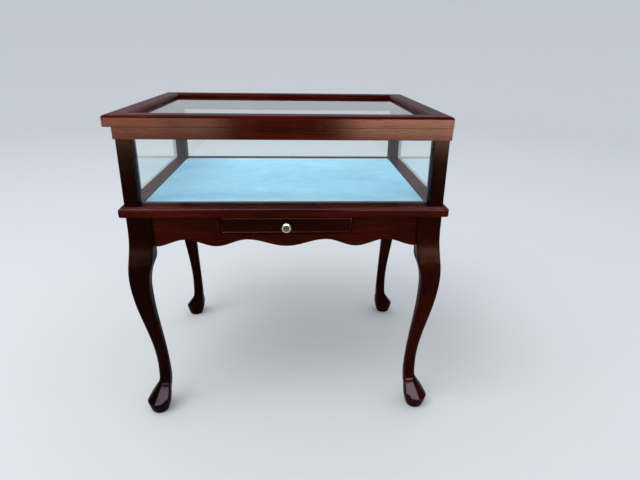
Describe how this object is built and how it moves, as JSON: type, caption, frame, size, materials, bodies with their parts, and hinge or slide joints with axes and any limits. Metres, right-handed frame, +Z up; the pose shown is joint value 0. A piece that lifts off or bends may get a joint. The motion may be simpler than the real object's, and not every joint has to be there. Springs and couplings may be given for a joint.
{
  "type": "display table",
  "caption": "Glazed display table: a hinged glass lid over a velvet-floored case, on a stand with cabriole legs, scalloped aprons and a small front drawer.",
  "frame": {"origin": "on the floor, at the middle of the whole table's box", "axes": "+X to the right as seen from the drawer side, +Y to the back, +Z up"},
  "size_m": [0.6194, 0.4754, 0.635],
  "materials": {
    "mahogany": "dark red-brown stain under gloss lacquer",
    "drawer_wood": "plain unfinished hardwood and plywood",
    "clear_glass": "polished float glass",
    "ice_velvet": "short pale velvet pile",
    "brass": "polished"
  },
  "bodies": {
    "table": {"apron_back": "mahogany", "apron_front": "mahogany", "apron_left": "mahogany", "apron_right": "mahogany", "corner_brace_back_left": "drawer_wood", "corner_brace_back_right": "drawer_wood", "corner_brace_front_left": "drawer_wood", "corner_brace_front_right": "drawer_wood", "display_board": "drawer_wood", "drawer_runner_left": "drawer_wood", "drawer_runner_right": "drawer_wood", "drawer_stop": "drawer_wood", "hinge_left_case_leaf": "brass", "hinge_left_pin": "brass", "hinge_right_case_leaf": "brass", "hinge_right_pin": "brass", "leg_back_left": "mahogany", "leg_back_right": "mahogany", "leg_front_left": "mahogany", "leg_front_right": "mahogany", "pane_back": "clear_glass", "pane_front": "clear_glass", "pane_left": "clear_glass", "pane_right": "clear_glass", "post_back_left": "mahogany", "post_back_right": "mahogany", "post_front_left": "mahogany", "post_front_right": "mahogany", "table_frame_back": "mahogany", "table_frame_front": "mahogany", "table_frame_left": "mahogany", "table_frame_right": "mahogany", "top_rail_back": "mahogany", "top_rail_front": "mahogany", "top_rail_left": "mahogany", "top_rail_right": "mahogany", "velvet_cover": "ice_velvet"},
    "lid": {"glass_stop_back": "mahogany", "glass_stop_front": "mahogany", "glass_stop_left": "mahogany", "glass_stop_right": "mahogany", "hinge_left_lid_leaf": "brass", "hinge_right_lid_leaf": "brass", "lid_pane": "clear_glass", "lid_rail_back": "mahogany", "lid_rail_front": "mahogany", "lid_rail_left": "mahogany", "lid_rail_right": "mahogany"},
    "drawer": {"drawer_back": "drawer_wood", "drawer_bottom": "drawer_wood", "drawer_front": "mahogany", "drawer_knob": "brass", "drawer_side_left": "drawer_wood", "drawer_side_right": "drawer_wood"}
  },
  "joints": [
    {"name": "lid_hinge", "type": "hinge", "parent": "table", "child": "lid", "pos_m": [0.00232, 0.23152, 0.6128], "axis": [-1, 0, 0], "range_deg": [0, 100]},
    {"name": "drawer_slide", "type": "slide", "parent": "table", "child": "drawer", "axis": [0, -1, 0], "range_m": [0, 0.2]}
  ]
}
